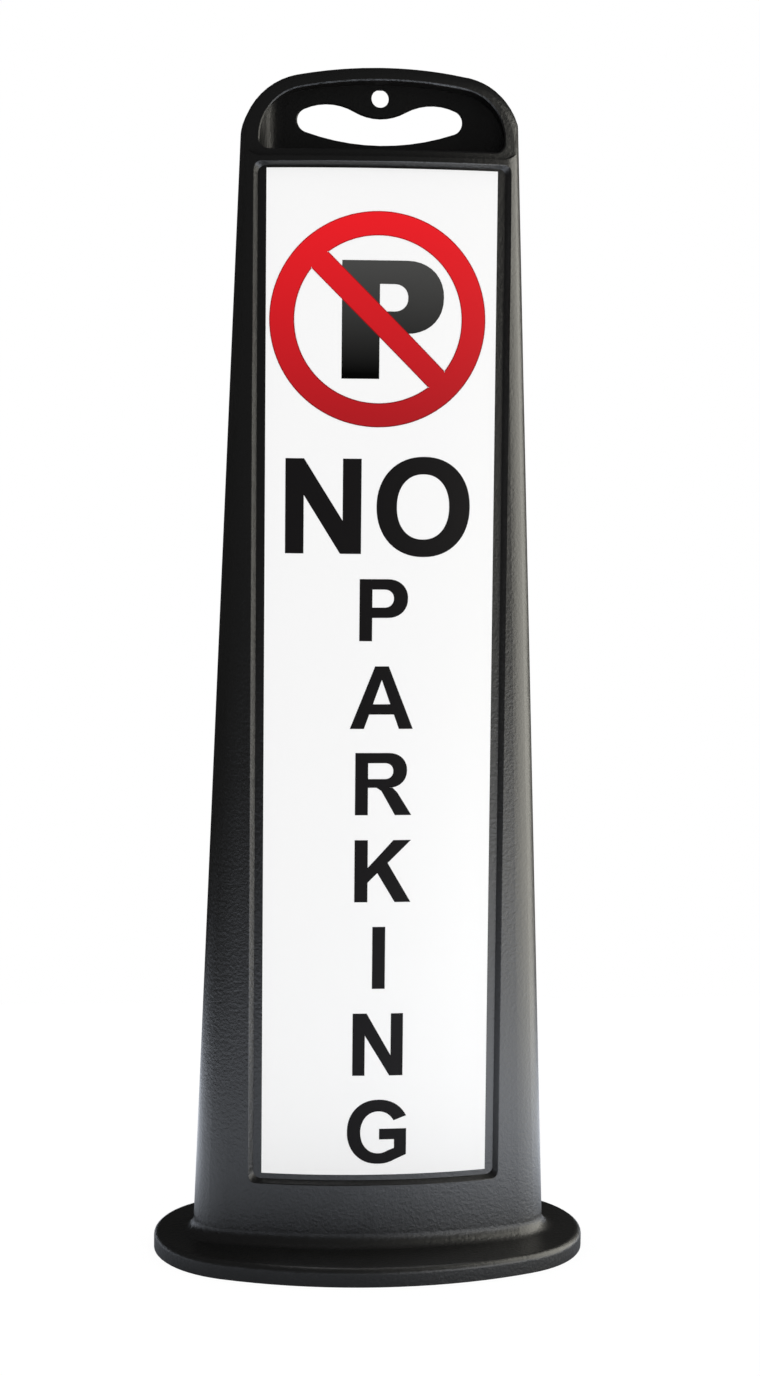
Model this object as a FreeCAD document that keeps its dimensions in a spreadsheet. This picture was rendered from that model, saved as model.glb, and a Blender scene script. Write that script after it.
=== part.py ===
"""A portable parking sign: a hollow moulded panel with a flared foot, and a white sheet in its front recess.

X runs to the right as seen from the front, the front faces -Y, Z is up, and the origin is on the floor
under the middle of the panel. Lengths are in millimetres and angles in degrees.
"""
import FreeCAD, Part
import math
import os
import re

import Sketcher
from FreeCAD import Placement, Rotation, Vector

# Driving sizes, each with what it measures.
DRIVING = (
    ("overall_height", 1089.0, "floor to the top of the handle"),
    ("base_width", 332.4, "body at the floor, side to side"),
    ("base_depth", 129.6, "body at the floor, front to back"),
    ("side_draft", 2.24, "how far each side leans in"),
    ("face_draft", 0.87, "how far the front and the back lean in"),
    ("face_radius", 420.0, "curve of the front and the back"),
    ("low_side_radius", 60.0, "curve of the two sides at the floor"),
    ("high_side_radius", 90.0, "curve of the two sides at the top"),
    ("low_corner_room", 24.8, "half the depth at the floor less the radius of the upright corners there"),
    ("high_corner_radius", 15.0, "upright corners at the top"),
    ("wall", 3.2, "thickness of the moulded skin"),
    ("hollow_end_radius", 43.0, "round ends of the hollow inside"),
    ("spare", 10.0, "how far a cut runs past what it cuts"),
    ("flange_width", 404.6, "foot, side to side"),
    ("flange_depth", 258.2, "foot, front to back"),
    ("flange_thickness", 17.0, "height of the foot's rim"),
    ("flange_face_radius", 340.0, "curve of the foot's long edges"),
    ("flange_round", 5.5, "rounding on top of the rim"),
    ("neck_radius", 12.0, "hollow rounding from the body to the foot"),
    ("recess_width", 232.8, "sign recess at the face, side to side"),
    ("recess_low", 75.0, "floor to the lower edge of the recess"),
    ("recess_depth", 5.0, "depth of the recess under the face"),
    ("recess_draft", 35.0, "lean of the recess walls"),
    ("recess_corner_radius", 9.0, "corners of the recess"),
    ("mouth_lip", 1.2, "rounding along the mouth of the recess"),
    ("brow", 4.4, "strip of face between the recess and the handle"),
    ("handle_height", 78.6, "lower edge of the handle to its top"),
    ("handle_setback", 4.0, "how far the handle is set back from the face"),
    ("handle_corner_radius", 18.0, "lower corners of the handle"),
    ("handle_round", 10.0, "rounding along the outer edge of the handle"),
    ("crown_radius", 450.0, "curve along the top of the handle"),
    ("shoulder_radius", 60.0, "ends of that curve"),
    ("shoulder_room", 0.2, "keeps the handle's outline just outside the sides of the body"),
    ("dish_width", 220.6, "hand dish, side to side"),
    ("dish_sill", 6.6, "bar between the handle's lower edge and the dish"),
    ("dish_rim", 12.0, "rim over the dish"),
    ("dish_shoulder_radius", 44.0, "upper corners of the dish"),
    ("dish_corner_radius", 9.0, "lower corners of the dish"),
    ("dish_cove", 22.0, "hollow rounding at both ends of the dish"),
    ("dish_lip", 1.3, "flat along the dish's edge"),
    ("web_pinch", 0.875, "thickness of the web that closes the dish, as a share of two skins"),
    ("grip_width", 150.0, "hand hole, side to side"),
    ("grip_sill", 6.4, "lower edge of the dish to the hand hole"),
    ("grip_height", 36.1, "hand hole at its highest"),
    ("grip_bulge", 12.5, "how far the web dips between the two humps"),
    ("grip_low_radius", 210.0, "lower edge of the hand hole"),
    ("grip_end_radius", 11.0, "ends of the hand hole"),
    ("grip_hump_radius", 50.0, "humps of the hand hole"),
    ("grip_lip", 1.3, "flat along the hand hole's edges"),
    ("bolt_diameter", 16.0, "hole for the bolt of a warning light"),
    ("bolt_drop", 23.8, "top of the handle to the middle of the bolt hole"),
    ("sheet_thickness", 0.5, "sign sheet"),
    ("sheet_side_margin", 8.0, "recess floor beside the sheet"),
    ("sheet_top_margin", 2.1, "recess floor above the sheet"),
    ("sheet_low_margin", 5.2, "recess floor below the sheet"),
)

# Sizes that follow from the driving ones.
DERIVED = (
    ("loft_top", "overall_height + spare", "height to which the tapering body is drawn"),
    ("neck_top", "flange_thickness + 1.25 * neck_radius", "height under which the body stands upright"),
    ("low_corner_radius", "base_depth / 2 - low_corner_room", "upright corners at the floor"),
    ("low_width", "base_width - 2 * neck_top * tan(side_draft)", "body under that height, side to side"),
    ("low_depth", "base_depth - 2 * neck_top * tan(face_draft)", "body under that height, front to back"),
    ("high_width", "base_width - 2 * loft_top * tan(side_draft)", "body at loft_top, side to side"),
    ("high_depth", "base_depth - 2 * loft_top * tan(face_draft)", "body at loft_top, front to back"),
    ("flange_end_radius", "((flange_width / 2) ^ 2 + (flange_depth / 2) ^ 2 - flange_face_radius * flange_depth)"
     " / (flange_width - 2 * flange_face_radius)", "ends that would meet the foot's long edges without corners"),
    ("flange_side_radius", "1.05 * flange_end_radius", "curve of the foot's ends"),
    ("flange_corner_radius", "0.9 * flange_end_radius", "curve between the foot's ends and its long edges"),
    ("handle_low", "overall_height - handle_height", "lower edge of the handle"),
    ("handle_width", "base_width - 2 * (handle_low + handle_corner_radius) * tan(side_draft)",
     "handle above its lower corners, side to side"),
    ("recess_high", "handle_low - brow", "upper edge of the recess"),
    ("recess_run", "recess_depth * tan(recess_draft)", "how far a recess wall comes in on its way down"),
    ("floor_radius", "face_radius - recess_depth", "curve of the recess floor"),
    ("axis_setback", "face_radius * cos(face_draft) - base_depth / 2", "axis of the front's curve, behind the middle"),
    ("axis_drop", "face_radius * sin(face_draft)", "start of that axis, under the floor"),
    ("hollow_end", "base_width / 2 - (wall + hollow_end_radius) / cos(side_draft)",
     "axis of those ends at the floor, from the middle"),
    ("edge_angle", "asin(recess_width / 2 / face_radius) / 1deg", "middle to the recess edge, about that axis"),
    ("wall_angle", "edge_angle + recess_draft", "lean of the recess walls from the middle plane"),
    ("floor_angle", "wall_angle - asin(face_radius * sin(recess_draft) / floor_radius) / 1deg",
     "middle to the edge of the recess floor, about that axis"),
    ("sheet_angle", "2 * (floor_angle - sheet_side_margin / floor_radius * 180 / pi)", "what the sheet spans"),
    ("sheet_low", "recess_low + recess_run + sheet_low_margin", "lower edge of the sheet"),
    ("sheet_high", "recess_high - recess_run - sheet_top_margin", "upper edge of the sheet"),
    ("dish_low", "handle_low + dish_sill", "lower edge of the dish"),
    ("web", "2 * wall * web_pinch", "thickness of the web that closes the dish"),
    ("grip_low", "dish_low + grip_sill", "lowest point of the hand hole"),
    ("grip_hump_height", "grip_low + grip_height - grip_hump_radius", "middle of a hump's curve"),
    ("grip_end_offset", "grip_width / 2 - grip_end_radius", "middle of an end's curve, from the middle"),
    ("grip_low_middle", "grip_low + grip_low_radius", "middle of the lower edge's curve"),
    ("grip_end_height", "grip_low_middle - sqrt((grip_low_radius - grip_end_radius) ^ 2 - grip_end_offset ^ 2)",
     "middle of an end's curve"),
    ("grip_hump_offset", "grip_end_offset - sqrt((grip_hump_radius - grip_end_radius) ^ 2"
     " - (grip_end_height - grip_hump_height) ^ 2)", "middle of a hump's curve, from the middle"),
    ("grip_rise", "grip_hump_radius - grip_bulge", "lowest point of the bulge over a hump's middle"),
    ("grip_bulge_radius", "(grip_hump_offset ^ 2 + grip_rise ^ 2 - grip_hump_radius ^ 2)"
     " / (2 * (grip_hump_radius - grip_rise))", "curve of the bulge"),
    ("bolt_height", "overall_height - bolt_drop", "middle of the bolt hole"),
)

NAMES = {row[0] for row in DRIVING + DERIVED}
TOUCH = 0.01
LEVEL_AXIS, UPRIGHT_AXIS = range(-1, -3, -1)
START, END, CENTRE = range(1, 4)
ORIGIN_POINT = (LEVEL_AXIS, START)

doc = FreeCAD.newDocument("ParkingSign")
sizes = doc.addObject("Spreadsheet::Sheet", "Sizes")
for line, (alias, value, note) in enumerate(DRIVING + DERIVED, 1):
    sizes.set(f"A{line}", alias)
    sizes.set(f"B{line}", f"={value}" if isinstance(value, str) else str(value))
    sizes.set(f"C{line}", note)
    sizes.setAlias(f"B{line}", alias)
doc.recompute()


def sized(text):
    """the same formula with each named size pointed at its cell"""
    return re.sub(r"[a-z]\w*", lambda word: "Sizes." + word.group() if word.group() in NAMES else word.group(), text)


def number(text):
    """what a formula comes to now"""
    value = sizes.evalExpression(sized(text))
    return float(getattr(value, "Value", value))


def bind(thing, path, text):
    """makes a property follow a formula"""
    thing.setExpression(path, sized(text))


def new_body(name):
    return doc.addObject("PartDesign::Body", name)


def new_sketch(body, role, name, height="0"):
    """a sketch on one of the body's own planes, moved along its normal by height"""
    sketch = body.newObject("Sketcher::SketchObject", name)
    plane = next(item for item in body.Origin.OriginFeatures if item.Role == role)
    sketch.AttachmentSupport = [(plane, "")]
    sketch.MapMode = "FlatFace"
    bind(sketch, ".AttachmentOffset.Base.z", height)
    return sketch


def fix(sketch, kind, where, text):
    """a measured constraint that follows a formula"""
    value = number(text)
    if kind == "Angle":
        value = math.radians(value)
    index = sketch.addConstraint(Sketcher.Constraint(kind, *where, value))
    name = f"measure_{index}"
    sketch.renameConstraint(index, name)
    bind(sketch, f"Constraints.{name}", text)


def add_arc(sketch, centre, radius, start, end):
    """an arc drawn counter-clockwise between two angles in radians"""
    circle = Part.Circle(Vector(centre[0], centre[1], 0), Vector(0, 0, 1), radius)
    return sketch.addGeometry(Part.ArcOfCircle(circle, start, end))


def add_line(sketch, start, end):
    return sketch.addGeometry(Part.LineSegment(Vector(start[0], start[1], 0), Vector(end[0], end[1], 0)))


def circles_meet(centre_a, radius_a, centre_b, radius_b):
    """where two circles cross, on the right of the way from the first centre to the second"""
    across, along = centre_b[0] - centre_a[0], centre_b[1] - centre_a[1]
    apart = math.hypot(across, along)
    reach = (radius_a ** 2 - radius_b ** 2 + apart ** 2) / (2 * apart)
    aside = math.sqrt(radius_a ** 2 - reach ** 2)
    return (centre_a[0] + (reach * across + aside * along) / apart,
            centre_a[1] + (reach * along - aside * across) / apart)


def oval_sketch(body, name, height, width, depth, face, side, corner):
    """A level oval of eight tangent curves: front and back of radius face, ends of radius side, corners between.

    All the sizes are formulas. The curves run counter-clockwise from the right end, and each is drawn as two arcs,
    because long strips of curved face are meshed with far fewer triangles when they are narrow.
    """
    sketch = new_sketch(body, "XY_Plane", name, height)
    face_middle = f"{face} - ({depth}) / 2"
    side_middle = f"({width}) / 2 - ({side})"
    setback, offset = number(face_middle), number(side_middle)
    face_radius, side_radius, corner_radius = number(face), number(side), number(corner)
    x, y = circles_meet((0, -setback), face_radius - corner_radius, (offset, 0), side_radius - corner_radius)
    steep = math.atan2(y + setback, x)
    slight = math.atan2(y, x - offset)
    turn = math.pi
    half = turn / 4
    for centre, radius, start, split, end in (
            ((offset, 0), side_radius, -slight, 0, slight),
            ((x, y), corner_radius, slight, half, steep),
            ((0, -setback), face_radius, steep, 2 * half, turn - steep),
            ((-x, y), corner_radius, turn - steep, 3 * half, turn - slight),
            ((-offset, 0), side_radius, turn - slight, turn, turn + slight),
            ((-x, -y), corner_radius, turn + slight, 5 * half, turn + steep),
            ((0, setback), face_radius, turn + steep, 6 * half, 2 * turn - steep),
            ((x, -y), corner_radius, 2 * turn - steep, 7 * half, 2 * turn - slight)):
        arc = add_arc(sketch, centre, radius, start, split)
        add_arc(sketch, centre, radius, split, end)
        sketch.addConstraint(Sketcher.Constraint("Coincident", arc, END, arc + 1, START))
        sketch.addConstraint(Sketcher.Constraint("Coincident", arc, CENTRE, arc + 1, CENTRE))
    for arc in range(0, 16, 2):
        sketch.addConstraint(Sketcher.Constraint("Tangent", arc + 1, END, (arc + 2) % 16, START))
    for arc, axis, radius in ((0, LEVEL_AXIS, side), (8, LEVEL_AXIS, side),
                              (4, UPRIGHT_AXIS, face), (12, UPRIGHT_AXIS, face)):
        sketch.addConstraint(Sketcher.Constraint("PointOnObject", arc, CENTRE, axis))
        sketch.addConstraint(Sketcher.Constraint("PointOnObject", arc, END, axis))
        fix(sketch, "Radius", (arc,), radius)
    for arc in (2, 6, 10, 14):
        fix(sketch, "Radius", (arc,), corner)
        middle_to_split = (arc, CENTRE, arc, END) if arc in (2, 14) else (arc, END, arc, CENTRE)
        fix(sketch, "DistanceX", middle_to_split, f"({corner}) * cos(45)")
    fix(sketch, "DistanceX", (*ORIGIN_POINT, 0, CENTRE), side_middle)
    fix(sketch, "DistanceX", (8, CENTRE, *ORIGIN_POINT), side_middle)
    fix(sketch, "DistanceY", (4, CENTRE, *ORIGIN_POINT), face_middle)
    fix(sketch, "DistanceY", (*ORIGIN_POINT, 12, CENTRE), face_middle)
    return sketch


def arch_sketch(body, name, half_width, lean, low, top, crown, shoulder):
    """An upright outline: level below, two sides that lean in, and a shallow crown between rounded shoulders.

    half_width is measured at the height low. The crown is drawn as two arcs, for the same reason as an oval's.
    """
    sketch = new_sketch(body, "XZ_Plane", name)
    foot, tilt, base = number(half_width), math.radians(number(lean)), number(low)
    crown_radius, shoulder_radius = number(crown), number(shoulder)
    crown_middle = number(f"{top} - ({crown})")
    outward = (math.cos(tilt), math.sin(tilt))
    upward = (-math.sin(tilt), math.cos(tilt))
    start = (foot - shoulder_radius * outward[0], base - crown_middle - shoulder_radius * outward[1])
    along = start[0] * upward[0] + start[1] * upward[1]
    gap = start[0] ** 2 + start[1] ** 2 - (crown_radius - shoulder_radius) ** 2
    run = -along + math.sqrt(along ** 2 - gap)
    x, z = start[0] + run * upward[0], crown_middle + start[1] + run * upward[1]
    spring = (x + shoulder_radius * outward[0], z + shoulder_radius * outward[1])
    steep = math.atan2(z - crown_middle, x)
    turn = math.pi
    add_line(sketch, (-foot, base), (foot, base))
    add_line(sketch, (foot, base), spring)
    add_arc(sketch, (x, z), shoulder_radius, tilt, steep)
    add_arc(sketch, (0, crown_middle), crown_radius, steep, turn / 2)
    add_arc(sketch, (0, crown_middle), crown_radius, turn / 2, turn - steep)
    add_arc(sketch, (-x, z), shoulder_radius, turn - steep, turn - tilt)
    add_line(sketch, (-spring[0], spring[1]), (-foot, base))
    sketch.addConstraint(Sketcher.Constraint("Coincident", 0, END, 1, START))
    for piece in (1, 2, 4, 5):
        sketch.addConstraint(Sketcher.Constraint("Tangent", piece, END, piece + 1, START))
    sketch.addConstraint(Sketcher.Constraint("Coincident", 3, END, 4, START))
    sketch.addConstraint(Sketcher.Constraint("Coincident", 3, CENTRE, 4, CENTRE))
    sketch.addConstraint(Sketcher.Constraint("Coincident", 6, END, 0, START))
    sketch.addConstraint(Sketcher.Constraint("PointOnObject", 3, CENTRE, UPRIGHT_AXIS))
    sketch.addConstraint(Sketcher.Constraint("PointOnObject", 3, END, UPRIGHT_AXIS))
    sketch.addConstraint(Sketcher.Constraint("Symmetric", 0, START, 0, END, UPRIGHT_AXIS))
    fix(sketch, "Radius", (2,), shoulder)
    fix(sketch, "Radius", (3,), crown)
    fix(sketch, "Radius", (5,), shoulder)
    fix(sketch, "DistanceX", (*ORIGIN_POINT, 0, END), half_width)
    fix(sketch, "DistanceY", (*ORIGIN_POINT, 0, END), low)
    fix(sketch, "DistanceY", (*ORIGIN_POINT, 3, CENTRE), f"{top} - ({crown})")
    fix(sketch, "Angle", (1,), f"90 + ({lean})")
    fix(sketch, "Angle", (6,), f"-90 - ({lean})")
    return sketch


def grip_sketch(body, name):
    """The hand hole's outline: a long lower edge, two round ends, and two humps with a bulge between them."""
    sketch = new_sketch(body, "XZ_Plane", name)
    low_radius, end_radius = number("grip_low_radius"), number("grip_end_radius")
    hump_radius, bulge_radius = number("grip_hump_radius"), number("grip_bulge_radius")
    low_z, end_z, hump_z = number("grip_low_middle"), number("grip_end_height"), number("grip_hump_height")
    end_x, hump_x = number("grip_end_offset"), number("grip_hump_offset")
    bulge_z = hump_z + number("grip_rise") + bulge_radius
    to_end = math.atan2(end_z - low_z, end_x)
    from_hump = math.atan2(end_z - hump_z, end_x - hump_x)
    to_bulge = math.atan2(bulge_z - hump_z, -hump_x)
    under = math.atan2(hump_z - bulge_z, hump_x)
    turn = math.pi
    add_arc(sketch, (0, low_z), low_radius, -turn - to_end, to_end)
    add_arc(sketch, (end_x, end_z), end_radius, to_end, from_hump)
    add_arc(sketch, (hump_x, hump_z), hump_radius, from_hump, to_bulge)
    add_arc(sketch, (0, bulge_z), bulge_radius, -turn - under, under)
    add_arc(sketch, (-hump_x, hump_z), hump_radius, turn - to_bulge, turn - from_hump)
    add_arc(sketch, (-end_x, end_z), end_radius, turn - from_hump, turn - to_end)
    for first, first_end, second, second_end in ((0, END, 1, START), (1, END, 2, START), (2, END, 3, END),
                                                 (3, START, 4, START), (4, END, 5, START), (5, END, 0, START)):
        sketch.addConstraint(Sketcher.Constraint("Tangent", first, first_end, second, second_end))
    sketch.addConstraint(Sketcher.Constraint("PointOnObject", 0, CENTRE, UPRIGHT_AXIS))
    fix(sketch, "DistanceY", (*ORIGIN_POINT, 0, CENTRE), "grip_low_middle")
    fix(sketch, "DistanceX", (*ORIGIN_POINT, 1, CENTRE), "grip_end_offset")
    fix(sketch, "DistanceX", (5, CENTRE, *ORIGIN_POINT), "grip_end_offset")
    fix(sketch, "DistanceY", (*ORIGIN_POINT, 2, CENTRE), "grip_hump_height")
    fix(sketch, "DistanceY", (*ORIGIN_POINT, 4, CENTRE), "grip_hump_height")
    for arc, radius in enumerate(("grip_low_radius", "grip_end_radius", "grip_hump_radius",
                                  "grip_bulge_radius", "grip_hump_radius", "grip_end_radius")):
        fix(sketch, "Radius", (arc,), radius)
    return sketch


def polygon_sketch(body, role, name, outlines, height="0"):
    """closed outlines whose corners are pairs of formulas"""
    sketch = new_sketch(body, role, name, height)
    for points in outlines:
        corners = [(number(across), number(up)) for across, up in points]
        lines = [add_line(sketch, corners[index - 1], corner) for index, corner in enumerate(corners)]
        for index, (across, up) in enumerate(points):
            after = lines[(index + 1) % len(lines)]
            sketch.addConstraint(Sketcher.Constraint("Coincident", lines[index], END, after, START))
            fix(sketch, "DistanceX", (*ORIGIN_POINT, lines[index], END), across)
            fix(sketch, "DistanceY", (*ORIGIN_POINT, lines[index], END), up)
    return sketch


def disc_sketch(body, role, name, radius, height="0"):
    """a circle over the origin, or over it by height in an upright plane"""
    sketch = new_sketch(body, role, name)
    sketch.addGeometry(Part.Circle(Vector(0, number(height), 0), Vector(0, 0, 1), number(radius)))
    sketch.addConstraint(Sketcher.Constraint("PointOnObject", 0, CENTRE, UPRIGHT_AXIS))
    fix(sketch, "DistanceY", (*ORIGIN_POINT, 0, CENTRE), height)
    fix(sketch, "Radius", (0,), radius)
    return sketch


def pad(body, name, sketch, length, midplane=False, below=None):
    feature = body.newObject("PartDesign::Pad", name)
    feature.Profile = sketch
    feature.SideType = "Symmetric" if midplane else "Two sides" if below else "One side"
    bind(feature, "Length", length)
    if below:
        bind(feature, "Length2", below)
    return feature


def cut_through(body, name, sketch):
    """a cut along the sketch's normal, all the way in both directions"""
    feature = body.newObject("PartDesign::Pocket", name)
    feature.Profile = sketch
    feature.Type = "ThroughAll"
    feature.SideType = "Symmetric"
    return feature


def revolve(body, name, sketch, angle):
    """a turn about the body's upright axis, the same to both sides of the sketch"""
    feature = body.newObject("PartDesign::Revolution", name)
    feature.Profile = sketch
    feature.ReferenceAxis = (sketch, ["V_Axis"])
    feature.Midplane = True
    bind(feature, "Angle", angle)
    return feature


def round_edges(body, name, radius, chosen, kind="Fillet", measure="Radius"):
    """rounds those edges of the body that chosen picks"""
    doc.recompute()
    base = body.Tip
    picked = [f"Edge{index}" for index, edge in enumerate(base.Shape.Edges, 1) if chosen(edge)]
    if not picked:
        raise ValueError(f"{name} found no edge to round")
    feature = body.newObject(f"PartDesign::{kind}", name)
    feature.Base = (base, picked)
    bind(feature, measure, radius)
    doc.recompute()
    return feature


def break_edges(body, name, size, chosen):
    """cuts a narrow flat along those edges of the body that chosen picks"""
    return round_edges(body, name, size, chosen, "Chamfer", "Size")


def body_of(name, solid):
    """a body that goes on from a joined or cut solid"""
    body = new_body(name)
    body.BaseFeature = solid
    return body


def ends(edge):
    return [vertex.Point for vertex in edge.Vertexes]


def middle(edge):
    return edge.valueAt((edge.FirstParameter + edge.LastParameter) / 2)


def lean_with_face(body):
    """puts the body's upright axis on the axis of the front's curve, which leans back with the front"""
    body.Placement = Placement(Vector(0, 1, -1), Rotation(Vector(-1, 0, 0), 1))
    bind(body, ".Placement.Base.y", "axis_setback")
    bind(body, ".Placement.Base.z", "-axis_drop")
    bind(body, ".Placement.Rotation.Angle", "face_draft")


def mirrored(name, source, normal=Vector(0, 1, 0)):
    """the same shape on the other side, which is the panel's back unless another normal is given"""
    copy = doc.addObject("Part::Mirroring", name)
    copy.Source = source
    copy.Normal = normal
    return copy


def joined(name, pieces):
    fusion = doc.addObject("Part::MultiFuse", name)
    fusion.Shapes = pieces
    return fusion


def shared(name, pieces):
    common = doc.addObject("Part::MultiCommon", name)
    common.Shapes = pieces
    common.Refine = False
    return common


def less(name, base, tool):
    cut = doc.addObject("Part::Cut", name)
    cut.Base = base
    cut.Tool = tool
    return cut


def outer_column():
    """the body: upright as high as its neck, and then tapering, drawn between two ovals"""
    column, plinth = new_body("column"), new_body("plinth")
    low_shape = ("low_width", "low_depth", "face_radius", "low_side_radius", "low_corner_radius")
    low = oval_sketch(column, "low_section", "neck_top", *low_shape)
    high = oval_sketch(column, "high_section", "loft_top", "high_width", "high_depth", "face_radius",
                       "high_side_radius", "high_corner_radius")
    loft = column.newObject("PartDesign::AdditiveLoft", "taper")
    loft.Profile = low
    loft.Sections = [high]
    loft.Ruled = True
    pad(plinth, "plinth_slab", oval_sketch(plinth, "plinth_section", "0", *low_shape), "neck_top")
    return [column, plinth]


def flange(tag, inset, drop):
    """the flared foot, a flat oval, which reaches drop below the floor"""
    body = new_body(f"{tag}_flange")
    outline = oval_sketch(body, f"{tag}_flange_outline", f"-({drop})", f"flange_width - 2 * {inset}",
                          f"flange_depth - 2 * {inset}", f"flange_face_radius - {inset}",
                          f"flange_side_radius - {inset}", f"flange_corner_radius - {inset}")
    pad(body, f"{tag}_flange_slab", outline, f"flange_thickness - {inset} + {drop}")
    return body


def standing_body():
    """body and foot in one, with a round rim and a hollow rounding between the two"""
    foot = flange("outer", "0", "0")
    top = number("flange_thickness")
    round_edges(foot, "flange_rim", "flange_round",
                lambda edge: all(abs(point.z - top) < TOUCH for point in ends(edge)))
    body = body_of("standing_body", joined("blank", [*outer_column(), foot]))
    reach_x, reach_y = number("base_width / 2"), number("base_depth / 2")
    round_edges(body, "neck", "neck_radius",
                lambda edge: all(abs(point.z - top) < TOUCH and abs(point.x) < reach_x and abs(point.y) < reach_y
                                 for point in ends(edge)))
    return body


def round_bar(body, tag, radius):
    """a round bar along the body's upright axis, from under the floor to over the top"""
    circle = disc_sketch(body, "XY_Plane", f"{tag}_circle", radius)
    pad(body, f"{tag}_bar", circle, "loft_top", below="4 * spare")
    return body


def drum(tag, radius):
    """a wide bar whose front is the curve of the panel's front, set back to another radius"""
    body = new_body(f"{tag}_drum")
    lean_with_face(body)
    return round_bar(body, f"{tag}_drum", radius)


def hollow_blank():
    """the plain inside of body and foot: curved front and back, round leaning ends, open at the floor"""
    body = new_body("hollow_end")
    body.Placement = Placement(Vector(1, 0, 0), Rotation(Vector(0, -1, 0), 1))
    bind(body, ".Placement.Base.x", "hollow_end")
    bind(body, ".Placement.Rotation.Angle", "side_draft")
    end = round_bar(body, "hollow_end", "hollow_end_radius")
    wedge = new_body("hollow_wedge")
    low, high = "-4 * spare", "loft_top"
    wide, narrow = (f"hollow_end + 0.2 * hollow_end_radius - ({level}) * tan(side_draft)" for level in (low, high))
    outline = polygon_sketch(wedge, "XZ_Plane", "hollow_outline", [[
        (f"-({wide})", low), (wide, low), (narrow, high), (f"-({narrow})", high)]])
    pad(wedge, "hollow_slab", outline, "2 * base_depth", True)
    tube = joined("hollow_tube", [wedge, end, mirrored("hollow_far_end", end, Vector(1, 0, 0))])
    front = drum("hollow", "face_radius - wall")
    core = shared("hollow_core", [tube, front, mirrored("hollow_back", front)])
    return joined("hollow_blank", [core, flange("inner", "wall", "spare")])


def recess_cutter(tag, inset):
    """what the sign recess takes out of the front: a curved floor and four sloping walls"""
    body = new_body(f"{tag}_recess")
    lean_with_face(body)
    floor, air = f"floor_radius - {inset}", "face_radius + spare"
    slip = f"{inset} / cos(recess_draft)"
    sunk = f"(recess_depth + {inset}) * tan(recess_draft)"
    flare = "spare * tan(recess_draft)"
    profile = polygon_sketch(body, "YZ_Plane", f"{tag}_recess_profile", [[
        (f"-({floor})", f"recess_low - {slip} + {sunk}"),
        (f"-({air})", f"recess_low - {slip} - {flare}"),
        (f"-({air})", f"recess_high + {slip} + {flare}"),
        (f"-({floor})", f"recess_high + {slip} - {sunk}")]])
    revolve(body, f"{tag}_recess_floor", profile, "3 * edge_angle")
    reach = f"recess_width / 2 + {inset} / cos(wall_angle)"
    edge_line = "face_radius * cos(edge_angle)"
    front, back = "face_radius + 2 * spare", "face_radius * cos(2 * edge_angle)"
    outside = []
    for sign in ("", "-"):
        outside.append([
            (f"{sign}({reach} + ({front} - {edge_line}) * tan(wall_angle))", f"-({front})"),
            (f"{sign}face_radius", f"-({front})"),
            (f"{sign}face_radius", f"-({back})"),
            (f"{sign}({reach} - ({edge_line} - {back}) * tan(wall_angle))", f"-({back})")])
    cut_through(body, f"{tag}_recess_sides", polygon_sketch(body, "XY_Plane", f"{tag}_recess_wedges", outside))
    deep, shallow = number(floor), number(air)

    def is_corner(edge):
        radii = [math.hypot(point.x, point.y) for point in ends(edge)]
        return abs(min(radii) - deep) < TOUCH and abs(max(radii) - shallow) < TOUCH and abs(middle(edge).x) > 1

    round_edges(body, f"{tag}_recess_corners", f"recess_corner_radius + {inset}", is_corner)
    return body


def dish_cutter(tag, inset):
    """what the hand dish takes out of the front, down to the web at the middle"""
    outline_body = new_body(f"{tag}_dish_outline")
    outline = arch_sketch(outline_body, f"{tag}_dish_arch", f"dish_width / 2 + {inset}", "0", f"dish_low - {inset}",
                          f"overall_height - dish_rim + {inset}", f"crown_radius - dish_rim + {inset}",
                          f"dish_shoulder_radius + {inset}")
    pad(outline_body, f"{tag}_dish_slab", outline, "2 * base_depth", True)
    low, side = number(f"dish_low - {inset}"), number(f"dish_width / 2 + {inset}")
    round_edges(outline_body, f"{tag}_dish_low_corners", f"dish_corner_radius + {inset}",
                lambda edge: all(abs(point.z - low) < TOUCH and abs(abs(point.x) - side) < TOUCH
                                 for point in ends(edge)) and abs(middle(edge).x) > 1)
    plan_body = new_body(f"{tag}_dish_plan")
    floor, air = f"web / 2 - {inset}", "base_depth"
    reach = f"dish_width / 2 + {inset}"
    plan = polygon_sketch(plan_body, "XY_Plane", f"{tag}_dish_tub", [[
        (f"-({reach})", f"-({floor})"), (f"-({reach})", f"-{air}"),
        (reach, f"-{air}"), (reach, f"-({floor})")]], "handle_low - handle_height")
    pad(plan_body, f"{tag}_dish_block", plan, "2 * handle_height + spare")
    depth = number(f"-({floor})")
    round_edges(plan_body, f"{tag}_dish_coves", f"dish_cove + {inset}",
                lambda edge: all(abs(point.y - depth) < TOUCH for point in ends(edge)) and abs(middle(edge).x) > 1)
    return shared(f"{tag}_dish", [outline_body, plan_body])


def plain_handle(tag, inset):
    """the handle's solid: an arched outline between two curved faces"""
    arch_body = new_body(f"{tag}_handle_arch")
    low = "handle_low - spare"
    outline = arch_sketch(arch_body, f"{tag}_handle_outline",
                          f"base_width / 2 - ({low}) * tan(side_draft) + shoulder_room - {inset}", "side_draft", low,
                          f"overall_height - {inset}", f"crown_radius - {inset}", f"shoulder_radius - {inset}")
    pad(arch_body, f"{tag}_handle_slab", outline, "2 * base_depth", True)
    front = drum(f"{tag}_handle", f"face_radius - handle_setback - {inset}")
    return shared(f"{tag}_handle_lens", [arch_body, front, mirrored(f"{tag}_handle_back", front)])


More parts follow.
